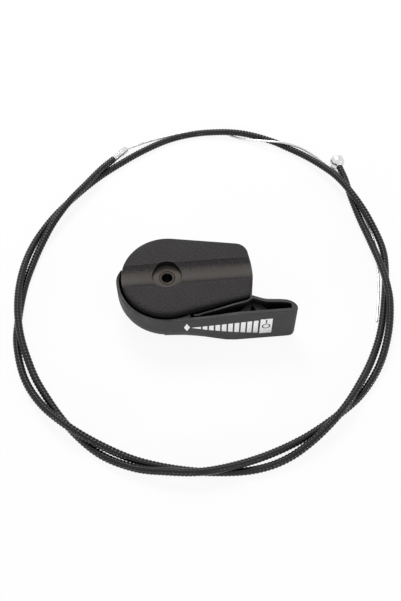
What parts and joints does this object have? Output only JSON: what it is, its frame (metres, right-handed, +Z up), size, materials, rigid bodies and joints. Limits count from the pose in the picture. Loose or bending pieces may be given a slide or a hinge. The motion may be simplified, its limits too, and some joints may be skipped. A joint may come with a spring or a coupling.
{
  "type": "throttle control lever with cable",
  "caption": "Handlebar throttle control lever with a saddle for the bar, and its black sheathed Bowden cable lying coiled around it.",
  "frame": {"origin": "on the surface that the set lies on, under the middle of the lever unit's plan", "axes": "+X along the saddle for the handlebar, from the round end to the cable socket; +Z up, out of the saddle; the lever's hollow handle is on the -Y side"},
  "size_m": [0.2326, 0.2545, 0.03],
  "materials": {
    "housing_plastic": "fine grained charcoal moulding",
    "lever_plastic": "satin charcoal moulding",
    "nylon": "natural nylon",
    "zinc_steel": "zinc plated",
    "spring_steel": "oiled spring steel",
    "sheath_black": "semi-gloss ribbed sheath",
    "wire_steel": "bright stranded wire",
    "plated_brass": "bright nickel plated brass"
  },
  "bodies": {
    "housing": {"base_housing": "housing_plastic", "cable_cover": "housing_plastic", "pivot_bush": "zinc_steel", "thrust_washer": "nylon", "friction_washer": "spring_steel", "backing_washer": "zinc_steel", "detent_ball": "spring_steel", "detent_spring": "spring_steel", "cover_screw_1": "zinc_steel", "cover_screw_2": "zinc_steel", "cover_screw_3": "zinc_steel", "cable_sheath": "sheath_black", "inner_wire": "wire_steel", "sheath_cap": "plated_brass", "end_nipple": "plated_brass", "sheath_ferrule": "plated_brass"},
    "lever": {"control_lever": "lever_plastic", "bearing_sleeve": "nylon"}
  },
  "joints": [
    {"name": "lever_turn", "type": "hinge", "parent": "housing", "child": "lever", "pos_m": [-0.02135, 0.00072, 0.0122], "axis": [0, 0, 1], "range_deg": [-65, 0]}
  ]
}
